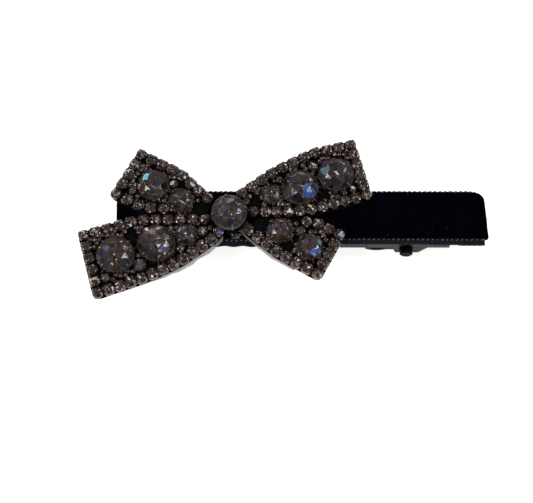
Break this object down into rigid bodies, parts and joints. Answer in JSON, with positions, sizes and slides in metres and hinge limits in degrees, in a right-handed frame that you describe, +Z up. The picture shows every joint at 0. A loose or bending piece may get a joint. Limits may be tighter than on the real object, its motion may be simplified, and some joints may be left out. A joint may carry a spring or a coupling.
{
  "type": "rhinestone hair clip",
  "caption": "Sprung alligator hair clip: a velvet-covered steel jaw carries a bow of set smoky stones, over a toothed lower jaw on a hinge pin.",
  "frame": {"origin": "on the lower jaw's flat underside, on which the clip lies, at the middle of the clip's length and width", "axes": "+X along the clip towards the tail (nose at -X), +Z up out of the bow's face, +Y to the far side"},
  "size_m": [0.0835, 0.0349, 0.0127],
  "materials": {
    "jaw_steel": "nickel-plated pressed steel",
    "pin_black": "gloss black",
    "spring_steel": "drawn wire",
    "velvet": "short velvet pile",
    "film": "clear film",
    "glue": "clear glue",
    "felt": "matt felt",
    "setting_metal": "dark gunmetal plating",
    "cup_metal": "dark gunmetal plating",
    "border_glass": "cut and polished, smoky brown",
    "smoky_glass": "cut and polished, smoky grey",
    "centre_glass": "cut and polished, smoky grey"
  },
  "bodies": {
    "lower": {"lower_jaw": "jaw_steel", "spring_lower_half": "spring_steel"},
    "upper": {"upper_jaw": "jaw_steel", "hinge_pin": "pin_black", "spring_upper_half": "spring_steel", "velvet_ribbon": "velvet", "hotfix_film": "film", "glue_residue": "glue", "centre_pad": "felt", "centre_setting": "setting_metal", "centre_stone": "centre_glass", "felt_nose_far": "felt", "felt_nose_near": "felt", "felt_tail_far": "felt", "felt_tail_near": "felt", "border_cups_nose_far": "cup_metal", "border_cups_nose_near": "cup_metal", "border_cups_tail_far": "cup_metal", "border_cups_tail_near": "cup_metal", "border_stones_nose_far": "border_glass", "border_stones_nose_near": "border_glass", "border_stones_tail_far": "border_glass", "border_stones_tail_near": "border_glass", "filler_cups": "cup_metal", "filler_stones": "border_glass", "setting_1": "setting_metal", "setting_2": "setting_metal", "setting_3": "setting_metal", "setting_4": "setting_metal", "setting_5": "setting_metal", "setting_6": "setting_metal", "setting_7": "setting_metal", "setting_8": "setting_metal", "setting_9": "setting_metal", "setting_10": "setting_metal", "stone_1": "smoky_glass", "stone_2": "smoky_glass", "stone_3": "smoky_glass", "stone_4": "smoky_glass", "stone_5": "smoky_glass", "stone_6": "smoky_glass", "stone_7": "smoky_glass", "stone_8": "smoky_glass", "stone_9": "smoky_glass", "stone_10": "smoky_glass"}
  },
  "joints": [
    {"name": "jaw_hinge", "type": "hinge", "parent": "lower", "child": "upper", "pos_m": [0.0215, 0, 0.0026], "axis": [0, 1, 0], "range_deg": [0, 17], "stiffness_Nm_per_rad": 0.06, "springref_deg": -28.65}
  ]
}
